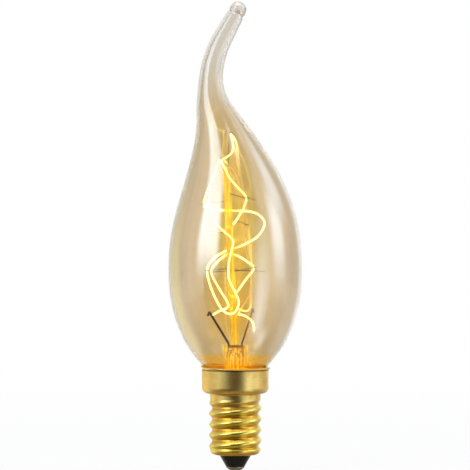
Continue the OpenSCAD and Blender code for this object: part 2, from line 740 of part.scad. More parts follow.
glass_envelope();
flare_stem();
exhaust_tube();
arbor_rod();
crown_hook();
top_hook();
upper_left_hook();
upper_right_hook();
middle_left_hook();
middle_back_hook();
lower_left_hook();
lower_front_hook();
lower_right_hook();
lower_back_hook();
filament();
left_inner_lead();
right_inner_lead();
left_seal_wire();
right_seal_wire();
side_lead();
fuse_lead();
fuse_wire();
contact_lead();
cap_shell();
cap_insulator();
contact_plate();
contact_solder();
side_solder();
capping_cement();
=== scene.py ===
import json
import math

import bpy
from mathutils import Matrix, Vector

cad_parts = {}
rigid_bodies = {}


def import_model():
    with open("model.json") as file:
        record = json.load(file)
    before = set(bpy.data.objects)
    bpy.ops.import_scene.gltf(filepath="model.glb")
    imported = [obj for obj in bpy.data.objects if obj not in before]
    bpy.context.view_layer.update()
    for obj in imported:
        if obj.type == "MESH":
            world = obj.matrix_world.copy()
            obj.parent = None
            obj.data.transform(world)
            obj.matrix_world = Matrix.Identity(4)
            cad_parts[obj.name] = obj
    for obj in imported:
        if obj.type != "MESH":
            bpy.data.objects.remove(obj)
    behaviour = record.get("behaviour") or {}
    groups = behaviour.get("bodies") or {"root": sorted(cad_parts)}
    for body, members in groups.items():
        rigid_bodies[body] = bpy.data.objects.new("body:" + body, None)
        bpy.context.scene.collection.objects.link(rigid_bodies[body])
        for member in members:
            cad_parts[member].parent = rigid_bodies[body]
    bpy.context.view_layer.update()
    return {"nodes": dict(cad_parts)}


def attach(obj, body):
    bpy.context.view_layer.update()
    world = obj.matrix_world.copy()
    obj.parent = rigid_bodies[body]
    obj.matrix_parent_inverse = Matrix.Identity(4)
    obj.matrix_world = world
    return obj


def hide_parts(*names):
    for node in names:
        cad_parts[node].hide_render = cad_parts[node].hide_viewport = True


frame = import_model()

nodes = frame["nodes"]
mm = 0.001  # sizes are written in millimetres, and angles in degrees
scene = bpy.context.scene

# camera: the picture's middle falls on the bulb's axis plane, where it is 122.8 mm wide
view = {"distance": 700, "height": 61.7, "side": -0.08, "width": 122.76, "sensor": 36,
        "near": 10, "far": 20000}
cameraData = bpy.data.cameras.new("camera")
cameraData.sensor_fit = "HORIZONTAL"
cameraData.sensor_width = view["sensor"]
cameraData.lens = view["sensor"] * view["distance"] / view["width"]
cameraData.clip_start = view["near"] * mm
cameraData.clip_end = view["far"] * mm
camera = bpy.data.objects.new("camera", cameraData)
camera.location = (view["side"] * mm, -view["distance"] * mm, view["height"] * mm)
camera.rotation_euler = (math.radians(90), 0, 0)
scene.collection.objects.link(camera)
scene.camera = camera
scene.view_settings.view_transform = "Standard"
print("camera placed")


class Value:  # one socket, so that sums on it read as sums
    def __init__(self, tree, socket):
        self.tree = tree
        self.socket = socket

    def calc(self, operation, first, second=0.0):
        return self.tree.add("ShaderNodeMath", {"operation": operation}, {0: first, 1: second})

    def __add__(self, other):
        return self.calc("ADD", self, other)

    def __radd__(self, other):
        return self.calc("ADD", other, self)

    def __sub__(self, other):
        return self.calc("SUBTRACT", self, other)

    def __rsub__(self, other):
        return self.calc("SUBTRACT", other, self)

    def __mul__(self, other):
        return self.calc("MULTIPLY", self, other)

    def __rmul__(self, other):
        return self.calc("MULTIPLY", other, self)

    def __truediv__(self, other):
        return self.calc("DIVIDE", self, other)

    def __pow__(self, other):
        return self.calc("POWER", self, other)

    def most(self, other):
        return self.calc("MAXIMUM", self, other)

    def size(self):
        return self.calc("ABSOLUTE", self)

    def sine(self):
        return self.calc("SINE", self)

    def cosine(self):
        return self.calc("COSINE", self)

    def rise(self, start, end):  # 0 at start, 1 at end, smooth between them
        return self.tree.add("ShaderNodeMapRange", {"interpolation_type": "SMOOTHSTEP"},
                             {"Value": self, "From Min": start, "From Max": end})

    def climb(self, edges):  # the same between two places in millimetres
        return self.rise(edges[0] * mm, edges[1] * mm)


class Tree:  # adds nodes to a node tree
    def __init__(self, tree):
        self.tree = tree

    def add(self, kind, settings=None, links=None, out=0):
        node = self.tree.nodes.new(kind)
        for key, value in (settings or {}).items():
            setattr(node, key, value)
        for key, value in (links or {}).items():
            if isinstance(value, Value):
                self.tree.links.new(value.socket, node.inputs[key])
            else:
                node.inputs[key].default_value = value
        if node.outputs:
            return Value(self, node.outputs[out])

    def parts(self, vector):  # x, y and z of a vector
        first = self.add("ShaderNodeSeparateXYZ", None, {0: vector})
        return [Value(self, s) for s in first.socket.node.outputs]

    def ray(self, kind):  # 1 for one kind of ray
        return self.add("ShaderNodeLightPath", out=kind)


class Paint(Tree):  # a material
    def __init__(self, name):
        self.material = bpy.data.materials.new(name)
        self.material.use_nodes = True
        super().__init__(self.material.node_tree)
        self.tree.nodes.clear()
        self.coords = self.add("ShaderNodeTexCoord", out="Object")

    def uv(self, name):
        return self.add("ShaderNodeUVMap", {"uv_map": name})

    def scaled(self, scale, source=None):
        return self.add("ShaderNodeMapping", None,
                        {"Vector": source or self.coords, "Scale": scale})

    def noise(self, scale, detail, rough, source=None):
        return self.add("ShaderNodeTexNoise", None,
                        {"Vector": source or self.coords, "Scale": scale, "Detail": detail,
                         "Roughness": rough})

    def facing(self):  # 1 where the surface faces the viewer, 0 at its edge
        return 1 - self.add("ShaderNodeLayerWeight", None, {"Blend": 0.5}, out="Facing")

    def blend(self, share, first, second):
        colour = [c if isinstance(c, Value) else (*c, 1) for c in (first, second)]
        return self.add("ShaderNodeMix", {"data_type": "RGBA"},
                        {0: share, 6: colour[0], 7: colour[1]}, out=2)

    def bump(self, height, strength, depth):  # the depth in millimetres
        return self.add("ShaderNodeBump", None,
                        {"Height": height, "Strength": strength, "Distance": depth * mm})

    def surface(self, links):  # the main shader
        links = {k: (*v, 1) if isinstance(v, tuple) and len(v) == 3 else v
                 for k, v in links.items()}
        return self.add("ShaderNodeBsdfPrincipled", None, links)

    def glow(self, colour, strength):
        return self.add("ShaderNodeEmission", None, {"Color": (*colour, 1), "Strength": strength})

    def clear(self, colour=(1, 1, 1)):
        return self.add("ShaderNodeBsdfTransparent", None, {"Color": (*colour, 1)})

    def mixed(self, share, first, second):
        return self.add("ShaderNodeMixShader", None, {0: share, 1: first, 2: second})

    def done(self, surface):
        self.add("ShaderNodeOutputMaterial", None, {"Surface": surface})
        return self.material


def screen(red, green, blue):  # a colour as a screen shows it, 0 to 255, as linear light
    return tuple(c / 12.92 if c <= 0.04045 else ((c + 0.055) / 1.055) ** 2.4
                 for c in (red / 255, green / 255, blue / 255))


def meshPiece(name, points, faces, material, smooth=True):
    mesh = bpy.data.meshes.new(name)
    mesh.from_pydata(points, [], faces)
    mesh.materials.append(material)
    mesh.update()
    if smooth:
        mesh.shade_smooth()
    piece = bpy.data.objects.new(name, mesh)
    scene.collection.objects.link(piece)
    return piece


def seat(piece, slot, *replaced):  # rides on the lamp's one body
    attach(piece, "root")
    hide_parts(*replaced)


class Geometry(Tree):  # a geometry tree on a modifier, with named inputs
    kinds = {"float": "NodeSocketFloat", "int": "NodeSocketInt",
             "material": "NodeSocketMaterial"}

    def __init__(self, name, inputs):
        self.group = bpy.data.node_groups.new(name, "GeometryNodeTree")
        super().__init__(self.group)
        face = self.group.interface
        face.new_socket("Geometry", in_out="INPUT", socket_type="NodeSocketGeometry")
        self.ids = {}
        for label, kind in inputs.items():
            item = face.new_socket(label, in_out="INPUT", socket_type=self.kinds[kind])
            self.ids[label] = item.identifier
        face.new_socket("Geometry", in_out="OUTPUT", socket_type="NodeSocketGeometry")
        self.entry = self.add("NodeGroupInput").socket.node

    def given(self, label):
        return Value(self, self.entry.outputs[label])

    def close(self, geometry):  # ends in real geometry with its material
        real = self.add("GeometryNodeRealizeInstances", None, {0: geometry})
        dressed = self.add("GeometryNodeSetMaterial", None,
                           {0: real, "Material": self.given("Material")})
        self.add("NodeGroupOutput", None, {0: dressed})

    def apply(self, piece, values):  # runs on a piece and leaves a plain mesh
        modifier = piece.modifiers.new(self.group.name, "NODES")
        modifier.node_group = self.group
        for label, value in values.items():
            modifier[self.ids[label]] = value
        bpy.context.view_layer.update()
        shown = piece.evaluated_get(bpy.context.evaluated_depsgraph_get())
        mesh = bpy.data.meshes.new_from_object(shown)
        name = piece.name
        mesh.name = name
        mesh.shade_smooth()
        bpy.data.objects.remove(piece)
        plain = bpy.data.objects.new(name, mesh)
        scene.collection.objects.link(plain)
        return plain


# glass envelope
glassSizes = {
    "bellyRadius": 17.5, "bellyHeight": 51.95, "bellyRise": 24.6, "neckRadius": 6.8,
    "mouthRadius": 8.35, "neckHeight": 22.05, "neckPower": 6, "footTip": 3.5, "endTip": 2.2,
    "taper": 3.5, "shoulder": 53, "fullness": 1.18, "straight": 9, "lean": 18,
    "leanRadius": 105, "curl": 46.5, "curlRadius": 25, "run": 8.5, "wall": 0.7,
    "tipWall": 1.1, "plug": 2.2, "seamBack": 1.1, "seamDepth": 0.3, "seamWidth": 0.4,
    "neckRun": 9, "endRun": 3, "rows": (24, 40, 230, 30), "domeRows": 12, "domeTurn": 88,
    "sides": 120,
}
g = glassSizes
power = g["neckPower"]
mouthEllipse = (g["mouthRadius"] ** power - g["neckRadius"] ** power) ** (1 / power)
ellipseHeight = g["bellyRise"] / math.sqrt(1 - (mouthEllipse / g["bellyRadius"]) ** 2)
lean, curl = math.radians(g["lean"]), math.radians(g["curl"])
curlStart = g["straight"] + g["leanRadius"] * lean
runStart = curlStart + g["curlRadius"] * curl
glassEnd = runStart + g["run"]


def belowRadius(z):  # an ellipse that melts into the neck
    share = max(0, 1 - ((g["bellyHeight"] - z) / ellipseHeight) ** 2)
    ellipse = g["bellyRadius"] * math.sqrt(share)
    return (ellipse ** power + g["neckRadius"] ** power) ** (1 / power)


def shoulderShare(s):
    if s <= 0:
        return 1
    return (1 + math.cos(math.pi * min(1, s / g["shoulder"]) ** g["fullness"])) / 2


def glassRadius(s):  # s is the length along the bulb from its widest place
    if s < 0:
        return belowRadius(g["bellyHeight"] + s)
    tube = g["footTip"] + (g["endTip"] - g["footTip"]) * (s / glassEnd) ** g["taper"]
    return tube + (belowRadius(g["bellyHeight"]) - tube) * shoulderShare(s)


def glassWall(s):  # measured level, so it grows where the glass slopes
    reach = 0.05
    slope = (glassRadius(s + reach) - glassRadius(s - reach)) / (2 * reach)
    wall = g["tipWall"] + (g["wall"] - g["tipWall"]) * shoulderShare(s)
    return wall * math.sqrt(1 + slope * slope)


def centreAt(s):  # x, z and the angle towards +X
    base = g["bellyHeight"] + g["straight"]
    if s <= g["straight"]:
        return 0, g["bellyHeight"] + s, 0

    def leanPoint(a):
        return -g["leanRadius"] * (1 - math.cos(a)), base + g["leanRadius"] * math.sin(a)

    def curlPoint(a):
        x, z = leanPoint(lean)
        return (x + g["curlRadius"] * (math.cos(lean) - math.cos(a)),
                z + g["curlRadius"] * (math.sin(lean) + math.sin(a)))
    if s <= curlStart:
        a = (s - g["straight"]) / g["leanRadius"]
        return (*leanPoint(a), -a)
    if s <= runStart:
        a = (s - curlStart) / g["curlRadius"] - lean
        return (*curlPoint(a), a)
    a = curl - lean
    x, z = curlPoint(a)
    return x + (s - runStart) * math.sin(a), z + (s - runStart) * math.cos(a), a


def glassRing(s, r, lift=0):
    x, z, a = centreAt(s)
    ring = []
    for j in range(g["sides"]):
        t = 2 * math.pi * j / g["sides"]
        ring.append(((x + r * math.cos(t) * math.cos(a) + lift * math.sin(a)) * mm,
                     r * math.sin(t) * mm,
                     (z - r * math.cos(t) * math.sin(a) + lift * math.cos(a)) * mm))
    return ring


def skin(rings):  # joins rings and closes both ends
    n = len(rings[0])
    points = [p for ring in rings for p in ring]
    faces = []
    for i in range(len(rings) - 1):
        for j in range(n):
            k = (j + 1) % n
            faces.append((i * n + j, i * n + k, (i + 1) * n + k, (i + 1) * n + j))
    faces.append(tuple(range(n - 1, -1, -1)))
    faces.append(tuple((len(rings) - 1) * n + j for j in range(n)))
    return points, faces


def steps(start, end, count):
    return [start + (end - start) * i / count for i in range(count)]


def outerRadius(s):  # with the pinched ring where the drawn end was melted shut
    away = (s - glassEnd + g["seamBack"]) / g["seamWidth"]
    return glassRadius(s) - g["seamDepth"] * math.exp(-away * away)


def glassPlaces(top):  # where the rings stand, from the mouth up
    mouth = g["neckHeight"] - g["bellyHeight"]
    edges = [mouth, mouth + g["neckRun"], 0, top - g["endRun"], top]
    places = []
    for start, end, count in zip(edges, edges[1:], g["rows"]):
        places += steps(start, end, count)
    return places + [top]


def glassPiece(material):
    boreEnd = glassEnd + g["tipWall"] - g["plug"]
    boreRadius = glassRadius(boreEnd) - glassWall(boreEnd)
    turns = [math.radians(g["domeTurn"] * (i + 1) / g["domeRows"]) for i in range(g["domeRows"])]
    dome = [(math.sin(a), math.cos(a)) for a in turns]
    rings = [glassRing(boreEnd, boreRadius * reach, boreRadius * rise)
             for rise, reach in reversed(dome)]
    rings += [glassRing(s, glassRadius(s) - glassWall(s)) for s in reversed(glassPlaces(boreEnd))]
    rings += [glassRing(s, outerRadius(s)) for s in glassPlaces(glassEnd)]
    rings += [glassRing(glassEnd, g["endTip"] * reach, g["endTip"] * rise)
              for rise, reach in dome]
    points, faces = skin(rings)
    return meshPiece("glassBulb", points, faces, material)


glassLook = {  # pairs say where a change starts and ends
    "body": (0.8, 0.665, 0.43), "tube": (0.84, 0.8, 0.735), "tubeEdge": (84, 112),
    "neck": (0.96, 0.62, 0.03), "neckEdge": (29.4, 30.8), "shade": (0.9, 0.85, 0.72),
    "lowPaintedGlow": (0.84, 0.57, 0.08), "highPaintedGlow": (0.93, 0.76, 0.07), "paintedGlowTurn": (40, 58),
    "paintedGlowFoot": (27, 36), "paintedGlowHead": (80, 98), "paintedGlowBack": (-1, 1),
    "paintedGlowFacing": (0.88, 1.0), "paintedGlowSide": (0, 3), "paintedGlowShift": 0.02,
    "bead": (0.6, 0.5, 0.4), "beadEdge": (0, 0.6), "smoke": (700, 3, 0.6),
    "smokeEdge": (0.4, 0.6), "ripple": (90, 2, 0.4), "rippleStrength": 0.02,
    "rippleDepth": 0.4, "bend": 1.48, "coatBend": 2.4, "coatRough": 0.11,
    "coatEdge": (84, 98), "coatLoss": 0.6, "calmFacing": (0.7, 0.92), "calmFoot": (22, 27),
    "calmHead": (38, 54), "calmSide": (2, 6), "calmLoss": 0.85,
}


def glassPaint():
    k = glassLook
    p = Paint("amberGlass")
    x, y, z = p.parts(p.coords)
    facing = p.facing()
    colour = p.blend(z.climb(k["tubeEdge"]), k["body"], k["tube"])
    # painted glow: a golden tint on the back wall stands in for the filament's light falling
    # there, strongest where the glass faces the viewer
    nearer = facing + x.climb(k["paintedGlowSide"]) * k["paintedGlowShift"]
    paintedGlow = (nearer.rise(*k["paintedGlowFacing"]) * z.climb(k["paintedGlowFoot"])
            * (1 - z.climb(k["paintedGlowHead"])) * y.climb(k["paintedGlowBack"]))
    colour = p.blend(paintedGlow, colour, p.blend(z.climb(k["paintedGlowTurn"]), k["lowPaintedGlow"], k["highPaintedGlow"]))
    # painted reflection: a deep amber band at the neck stands in for the brass rim and cement
    # mirrored in the glass
    colour = p.blend(z.climb(k["neckEdge"]), k["neck"], colour)
    # a smoky bead past the pinched ring
    endX, endZ, endAngle = centreAt(glassEnd - g["seamBack"])
    past = (x - endX * mm) * math.sin(endAngle) + (z - endZ * mm) * math.cos(endAngle)
    smoke = past.climb(k["beadEdge"]) * p.noise(*k["smoke"]).rise(*k["smokeEdge"])
    colour = p.blend(smoke, colour, k["bead"])
    # less gloss over the leads and along the tube
    calm = (facing.rise(*k["calmFacing"]) * (1 - z.climb(k["calmHead"]))
            * z.climb(k["calmFoot"]) * (1 - x.climb(k["calmSide"])))
    coat = 1 - k["coatLoss"] * z.climb(k["coatEdge"]) - k["calmLoss"] * calm
    ripple = p.bump(p.noise(*k["ripple"]), k["rippleStrength"], k["rippleDepth"])
    glass = p.surface({"Base Color": colour, "Roughness": 0.0, "IOR": k["bend"],
                       "Transmission Weight": 1.0, "Normal": ripple, "Coat Weight": coat,
                       "Coat Roughness": k["coatRough"], "Coat IOR": k["coatBend"]})
    return p.done(p.mixed(p.ray("Is Shadow Ray"), glass, p.clear(k["shade"])))


bulb = glassPiece(glassPaint())
seat(bulb, "amber_glass", "glass_envelope")
print("glass made,", len(bulb.data.polygons), "faces")


# filament, wound about the route that its plain wire follows above the pinch
pressTop = Vector((0, 0, 33.05))
routePoints = [
    (-5.8, -2.1, 8.0), (-4.0, -3.0, 9.0), (-1.8, -3.8, 10.4), (-3.9, -3.8, 14.3),
    (-6.2, -2.6, 18.9), (-4.6, -1.0, 21.7), (-2.0, 1.8, 23.6), (0.2, 1.6, 23.4),
    (2.8, -1.8, 21.9), (4.8, -3.4, 20.1), (2.8, -2.6, 17.2), (0.9, 0.9, 14.4),
    (-0.9, 2.6, 12.4), (-1.4, 3.5, 11.0), (-0.8, 3.6, 9.8), (0.8, 2.6, 9.3),
    (3.4, 2.2, 8.9), (4.3, 3.4, 12.0), (4.1, 4.6, 19.3), (3.0, 5.0, 23.4),
    (2.3, 5.4, 27.6), (2.0, 5.4, 32.2), (2.3, 5.0, 36.6), (2.0, 4.4, 41.0),
    (1.2, 3.8, 45.6), (0.7, 2.8, 50.0), (0.2, 1.4, 53.0), (-1.1, 0.2, 54.9),
    (-0.6, -1.2, 52.6), (-0.7, -2.0, 50.4), (-2.0, -1.7, 49.0), (-3.5, -1.9, 47.8),
    (-2.5, -3.7, 45.6), (-1.4, -4.2, 43.3), (0.4, -4.2, 41.2), (2.8, -3.0, 38.4),
    (2.2, -3.3, 35.8), (1.0, -2.2, 33.7), (-0.3, 0.8, 31.8), (-2.4, 3.0, 30.2),
    (-5.6, 2.4, 29.2), (-8.1, 0.6, 29.7), (-8.0, 1.0, 33.4), (-7.2, 0.0, 37.0),
    (-6.9, -1.2, 37.0), (-6.4, -2.0, 34.4), (-5.2, -3.0, 32.0), (-3.4, -4.0, 30.0),
    (-0.7, -4.5, 27.5), (-0.8, -4.8, 25.3), (-1.6, -5.0, 21.6), (-1.7, -5.0, 17.5),
    (-0.2, -5.0, 14.1), (0.9, -4.8, 11.2), (-0.4, -4.9, 8.4), (-3.2, -5.0, 9.1),
    (-5.8, -5.0, 13.8), (-7.3, -4.2, 19.4), (-5.6, -2.4, 22.5), (-3.0, 0.6, 24.2),
    (-1.4, 3.2, 25.0), (0.7, 2.4, 25.5), (3.3, -1.4, 26.7), (5.9, -3.9, 28.4),
    (7.6, -4.5, 31.5), (6.2, -4.4, 33.8), (3.6, -2.2, 34.8), (0.8, 1.3, 35.0),
    (-2.0, 2.4, 35.1), (-4.6, -1.0, 35.2), (-6.6, -3.3, 35.4), (-8.2, -0.4, 36.5),
    (-7.4, 0.8, 39.9), (-5.8, 0.2, 43.5), (-4.2, 0.8, 47.8), (-2.6, 2.6, 47.7),
    (-0.6, 4.6, 45.6), (1.2, 5.8, 41.5), (2.5, 6.4, 36.5), (3.1, 6.7, 31.3),
    (3.3, 6.4, 26.0), (3.8, 6.0, 21.6), (4.2, 5.0, 15.6), (3.4, 5.4, 12.2),
    (1.6, 4.4, 9.4), (0.9, 2.2, 8.0), (2.2, 0.8, 7.7), (3.5, 0.25, 7.0),
    (4.6, -0.3, 5.8), (4.9, -0.4, 3.6),
]


def smoothRoute(points, perSpan):
    smooth = []
    last = len(points) - 1
    for i in range(last):
        p0, p1, p2, p3 = (Vector(points[max(0, min(last, i + k))]) for k in (-1, 0, 1, 2))
        for k in range(perSpan):
            t = k / perSpan
            smooth.append(0.5 * (2 * p1 + t * (p2 - p0) + t * t * (2 * p0 - 5 * p1 + 4 * p2 - p3)
                                 + t ** 3 * (3 * p1 - p0 - 3 * p2 + p3)))
    smooth.append(Vector(points[last]))
    return smooth


coilSizes = {
    "radius": 0.22, "pitch": 0.28, "wire": 0.07, "stepsPerTurn": 8, "sides": 4, "perSpan": 8,
    "dimFrom": 0.5, "dimRun": 3, "dimLoss": 0.93,
}


def coilTree():  # winds a round wire about a curve
    t = Geometry("windCoil", {"Coil Radius": "float", "Pitch": "float", "Wire Radius": "float",
                              "Step": "float", "Sides": "int", "Material": "material"})
    curve = t.add("GeometryNodeMeshToCurve", None, {0: t.given("Geometry")})
    fine = t.add("GeometryNodeResampleCurve", {"mode": "LENGTH"},
                 {0: curve, "Length": t.given("Step")})
    length = t.add("GeometryNodeSplineParameter", out="Length")
    turn = length * (2 * math.pi) / t.given("Pitch")
    normal = t.add("GeometryNodeInputNormal")
    tangent = t.add("GeometryNodeInputTangent")
    side = t.add("ShaderNodeVectorMath", {"operation": "CROSS_PRODUCT"}, {0: tangent, 1: normal})

    def scaled(vector, share):
        return t.add("ShaderNodeVectorMath", {"operation": "SCALE"},
                     {0: vector, "Scale": share * t.given("Coil Radius")})
    offset = t.add("ShaderNodeVectorMath", {"operation": "ADD"},
                   {0: scaled(normal, turn.cosine()), 1: scaled(side, turn.sine())})
    wound = t.add("GeometryNodeSetPosition", None, {0: fine, "Offset": offset})
    profile = t.add("GeometryNodeCurvePrimitiveCircle", None,
                    {"Resolution": t.given("Sides"), "Radius": t.given("Wire Radius")})
    wire = t.add("GeometryNodeCurveToMesh", None, {0: wound, 1: profile, "Fill Caps": True})
    t.close(wire)
    return t


def coilPiece():
    c = coilSizes
    points = [(p + pressTop) * mm for p in smoothRoute(routePoints, c["perSpan"])]
    mesh = bpy.data.meshes.new("coiledFilament")
    mesh.from_pydata(points, [(i, i + 1) for i in range(len(points) - 1)], [])
    # painted shade: the filament's glow is made fainter towards the back
    glowShare = mesh.attributes.new("wireGlowShare", "FLOAT", "POINT")  # fainter towards the back
    for item, point in zip(glowShare.data, points):
        behind = (point[1] / mm - c["dimFrom"]) / c["dimRun"]
        item.value = 1 - c["dimLoss"] * max(0, min(1, behind))
    piece = bpy.data.objects.new("coiledFilament", mesh)
    scene.collection.objects.link(piece)
    return coilTree().apply(piece, {
        "Coil Radius": c["radius"] * mm, "Pitch": c["pitch"] * mm,
        "Wire Radius": c["wire"] * mm, "Step": c["pitch"] * mm / c["stepsPerTurn"],
        "Sides": c["sides"], "Material": glowPaint()})


glowLook = {
    "dim": (0.05, 0.025, 0.001), "hot": (1.0, 0.9, 0.4), "strength": 10.0, "mirrorLoss": 0.6,
    "metal": (0.5, 0.4, 0.3), "rough": 0.5,
}


def glowPaint():
    k = glowLook
    p = Paint("glowingWire")
    glowShare = p.add("ShaderNodeAttribute", {"attribute_name": "wireGlowShare"}, out="Fac")
    direct = 1 - k["mirrorLoss"] * p.ray("Is Glossy Ray")  # fainter in the glass's reflections
    return p.done(p.surface({"Base Color": k["metal"], "Roughness": k["rough"],
                             "Emission Color": p.blend(glowShare * direct, k["dim"], k["hot"]),
                             "Emission Strength": k["strength"]}))


coil = coilPiece()
seat(coil, "filament_wire", "filament")
print("filament wound,", len(coil.data.polygons), "faces")


# cap shell
capSizes = {
    "bottom": 4.35, "lip": 1.5, "hole": 4.25, "band": 6.6, "root": 6.03, "depth": 0.82,
    "pitch": 2.822, "threadStart": 5.7, "threadEnd": 19.25, "runIn": 0.7, "runOut": 1.9,
    "firstCrest": 5.2, "bandGap": 0.08, "bandTop": 19.9, "bandRows": 150, "rootBend": 0.35,
    "shoulderHeight": 20.35, "corner": 1.6, "skirt": 8.7, "skirtGap": 0.3, "skirtRows": 14,
    "spreadHeight": 26.55, "spread": 0.44, "flareBend": 1.2, "flareRise": 0.1,
    "flareTurn": 153, "rimHeight": 27.35, "edgeBack": 0.15, "edgeDrop": 0.1,
    "edgeBend": 0.12, "insideTop": 26.4, "insideRows": 6, "innerRows": 100, "sheet": 0.3,
    "rimWave": 0.5, "rimWaveFoot": 0.2, "sides": 192, "mapScale": 0.01,
}
rimWaves = {"across": 0.6, "forward": 0.45, "five": 0.12, "eleven": 0.08, "elevenTurn": 1.0,
            "middle": 0.35}


def bendPoints(centre, radius, start, end, count=12):  # along an arc, in degrees
    turns = [math.radians(start + (end - start) * i / count) for i in range(count + 1)]
    return [(centre[0] + radius * math.cos(a), centre[1] + radius * math.sin(a)) for a in turns]


def capProfile():  # the outside from the lip to the rim, then the inside back down
    c = capSizes
    lipCentre = (c["band"] - c["lip"], c["bottom"] + c["lip"])
    shoulder = (c["skirt"] - c["corner"], c["shoulderHeight"] + c["corner"])
    edge = (c["skirt"] + c["spread"] - c["edgeBack"], c["rimHeight"] - c["edgeDrop"])
    inner = c["band"] - c["sheet"]
    skirtInner = c["skirt"] - c["sheet"]
    root, flare, turn = c["rootBend"], c["flareBend"], c["flareTurn"]
    flareHeight = c["spreadHeight"] + c["flareRise"]
    out = [(c["hole"], c["bottom"] + c["sheet"]), (c["hole"], c["bottom"])]
    out += bendPoints(lipCentre, c["lip"], -90, 0)
    out += [(c["band"], z) for z in steps(lipCentre[1] + c["bandGap"], c["bandTop"],
                                          c["bandRows"])]
    out += bendPoints((c["band"] + root, c["shoulderHeight"] - root), root, 180, 90, count=8)
    out += bendPoints(shoulder, c["corner"], -90, 0)
    out += [(c["skirt"], z) for z in steps(shoulder[1] + c["skirtGap"], c["spreadHeight"],
                                           c["skirtRows"])]
    out += bendPoints((c["skirt"] + flare, flareHeight), flare, 180, turn, count=6)
    out += bendPoints(edge, c["edgeBend"], 0, 180, count=8)
    out += bendPoints((skirtInner + flare, flareHeight), flare, turn, 180, count=6)
    out += [(skirtInner, z) for z in steps(c["insideTop"], shoulder[1], c["insideRows"])]
    out += bendPoints(shoulder, c["corner"] - c["sheet"], 0, -90)
    out += [(inner, z) for z in steps(c["shoulderHeight"] + c["sheet"], lipCentre[1],
                                      c["innerRows"])]
    out += bendPoints(lipCentre, inner - lipCentre[0], 0, -90)
    return out


def rollTree():  # presses the thread and the rim's waves into a plain shell
    w = rimWaves
    t = Geometry("rollThread", {
        "Pitch": "float", "Depth": "float", "Band": "float", "Root": "float", "Start": "float",
        "End": "float", "Run In": "float", "Run Out": "float", "First Crest": "float",
        "Rim Start": "float", "Rim End": "float", "Rim Wave": "float", "Material": "material"})
    x, y, z = t.parts(t.add("GeometryNodeInputPosition"))
    angle = t.add("ShaderNodeMath", {"operation": "ARCTAN2"}, {0: y, 1: x})
    wave = ((z - t.given("First Crest")) * (2 * math.pi) / t.given("Pitch") - angle).cosine()
    share = (z.rise(t.given("Start"), t.given("Start") + t.given("Run In"))
             * (1 - z.rise(t.given("End") - t.given("Run Out"), t.given("End"))))
    radial = share * (t.given("Root") + t.given("Depth") * (wave * 0.5 + 0.5) - t.given("Band"))
    direction = t.add("ShaderNodeCombineXYZ", None,
                      {0: angle.cosine(), 1: angle.sine(), 2: 0.0})
    push = t.add("ShaderNodeVectorMath", {"operation": "SCALE"},
                 {0: direction, "Scale": radial})
    ripple = (angle.sine() * w["across"] - angle.cosine() * w["forward"]
              + (angle * 5.0).sine() * w["five"]
              + (angle * 11.0 + w["elevenTurn"]).sine() * w["eleven"])
    rim = z.rise(t.given("Rim Start"), t.given("Rim End"))
    drop = rim * t.given("Rim Wave") * (ripple - w["middle"])
    lift = t.add("ShaderNodeCombineXYZ", None, {0: 0.0, 1: 0.0, 2: drop})
    total = t.add("ShaderNodeVectorMath", {"operation": "ADD"}, {0: push, 1: lift})
    t.close(t.add("GeometryNodeSetPosition", None,
                  {0: t.given("Geometry"), "Offset": total}))
    return t


def capPiece():
    c = capSizes
    profile = capProfile()
    n = c["sides"]
    points, faces = [], []
    for r, z in profile:
        for j in range(n):
            a = 2 * math.pi * j / n
            points.append((r * math.cos(a) * mm, r * math.sin(a) * mm, z * mm))
    rows = len(profile)
    for i in range(rows):
        k = (i + 1) % rows
        for j in range(n):
            m = (j + 1) % n
            faces.append((i * n + j, i * n + m, k * n + m, k * n + j))
    piece = meshPiece("brassCap", points, faces, brassPaint())
    uv = piece.data.uv_layers.new(name="sheetMap")  # round the cap, and along the sheet
    along = [0.0]
    for (r0, z0), (r1, z1) in zip(profile, profile[1:] + profile[:1]):
        along.append(along[-1] + math.hypot(r1 - r0, z1 - z0))
    loop = 0
    for i in range(rows):
        for j in range(n):
            for u, v in ((j, i), (j + 1, i), (j + 1, i + 1), (j, i + 1)):
                uv.data[loop].uv = (u / n, along[v] * c["mapScale"])
                loop += 1
    return rollTree().apply(piece, {
        "Pitch": c["pitch"] * mm, "Depth": c["depth"] * mm, "Band": c["band"] * mm,
        "Root": c["root"] * mm, "Start": c["threadStart"] * mm, "End": c["threadEnd"] * mm,
        "Run In": c["runIn"] * mm, "Run Out": c["runOut"] * mm,
        "First Crest": c["firstCrest"] * mm,
        "Rim Start": (c["spreadHeight"] - c["rimWaveFoot"]) * mm,
        "Rim End": c["rimHeight"] * mm, "Rim Wave": c["rimWave"] * mm,
        "Material": piece.data.materials[0]})


brassLook = {
    "valleyShade": screen(240, 178, 58), "crest": screen(255, 236, 116), "crestEdge": (0.1, 0.6),
    "plain": screen(250, 212, 128), "threadEdge": (15, 20),
    "aged": screen(206, 172, 78), "agedShare": 0.5,
    "worn": screen(170, 124, 44), "wornShare": 0.35,
    "flare": screen(255, 232, 150), "flareHighlightEdge": (26.6, 26.9),
    "lipShadow": screen(90, 50, 22), "lipShadowEdge": (26.2, 26.45), "lipShadowShare": 0.7,
    "fineScale": (10, 2600, 1), "fine": (1.0, 4, 0.65),
    "broadScale": (7, 260, 1), "broad": (1.0, 3, 0.5),
    "stain": (330, 5, 0.62), "stainEdge": (0.42, 0.72), "pits": (900, 2, 0.5),
    "rough": 0.22, "fineRough": 0.12, "stainRough": 0.1, "plainRough": 0.06,
    "fineHeight": 0.6, "pitHeight": 0.4, "bump": (0.16, 0.03),
}


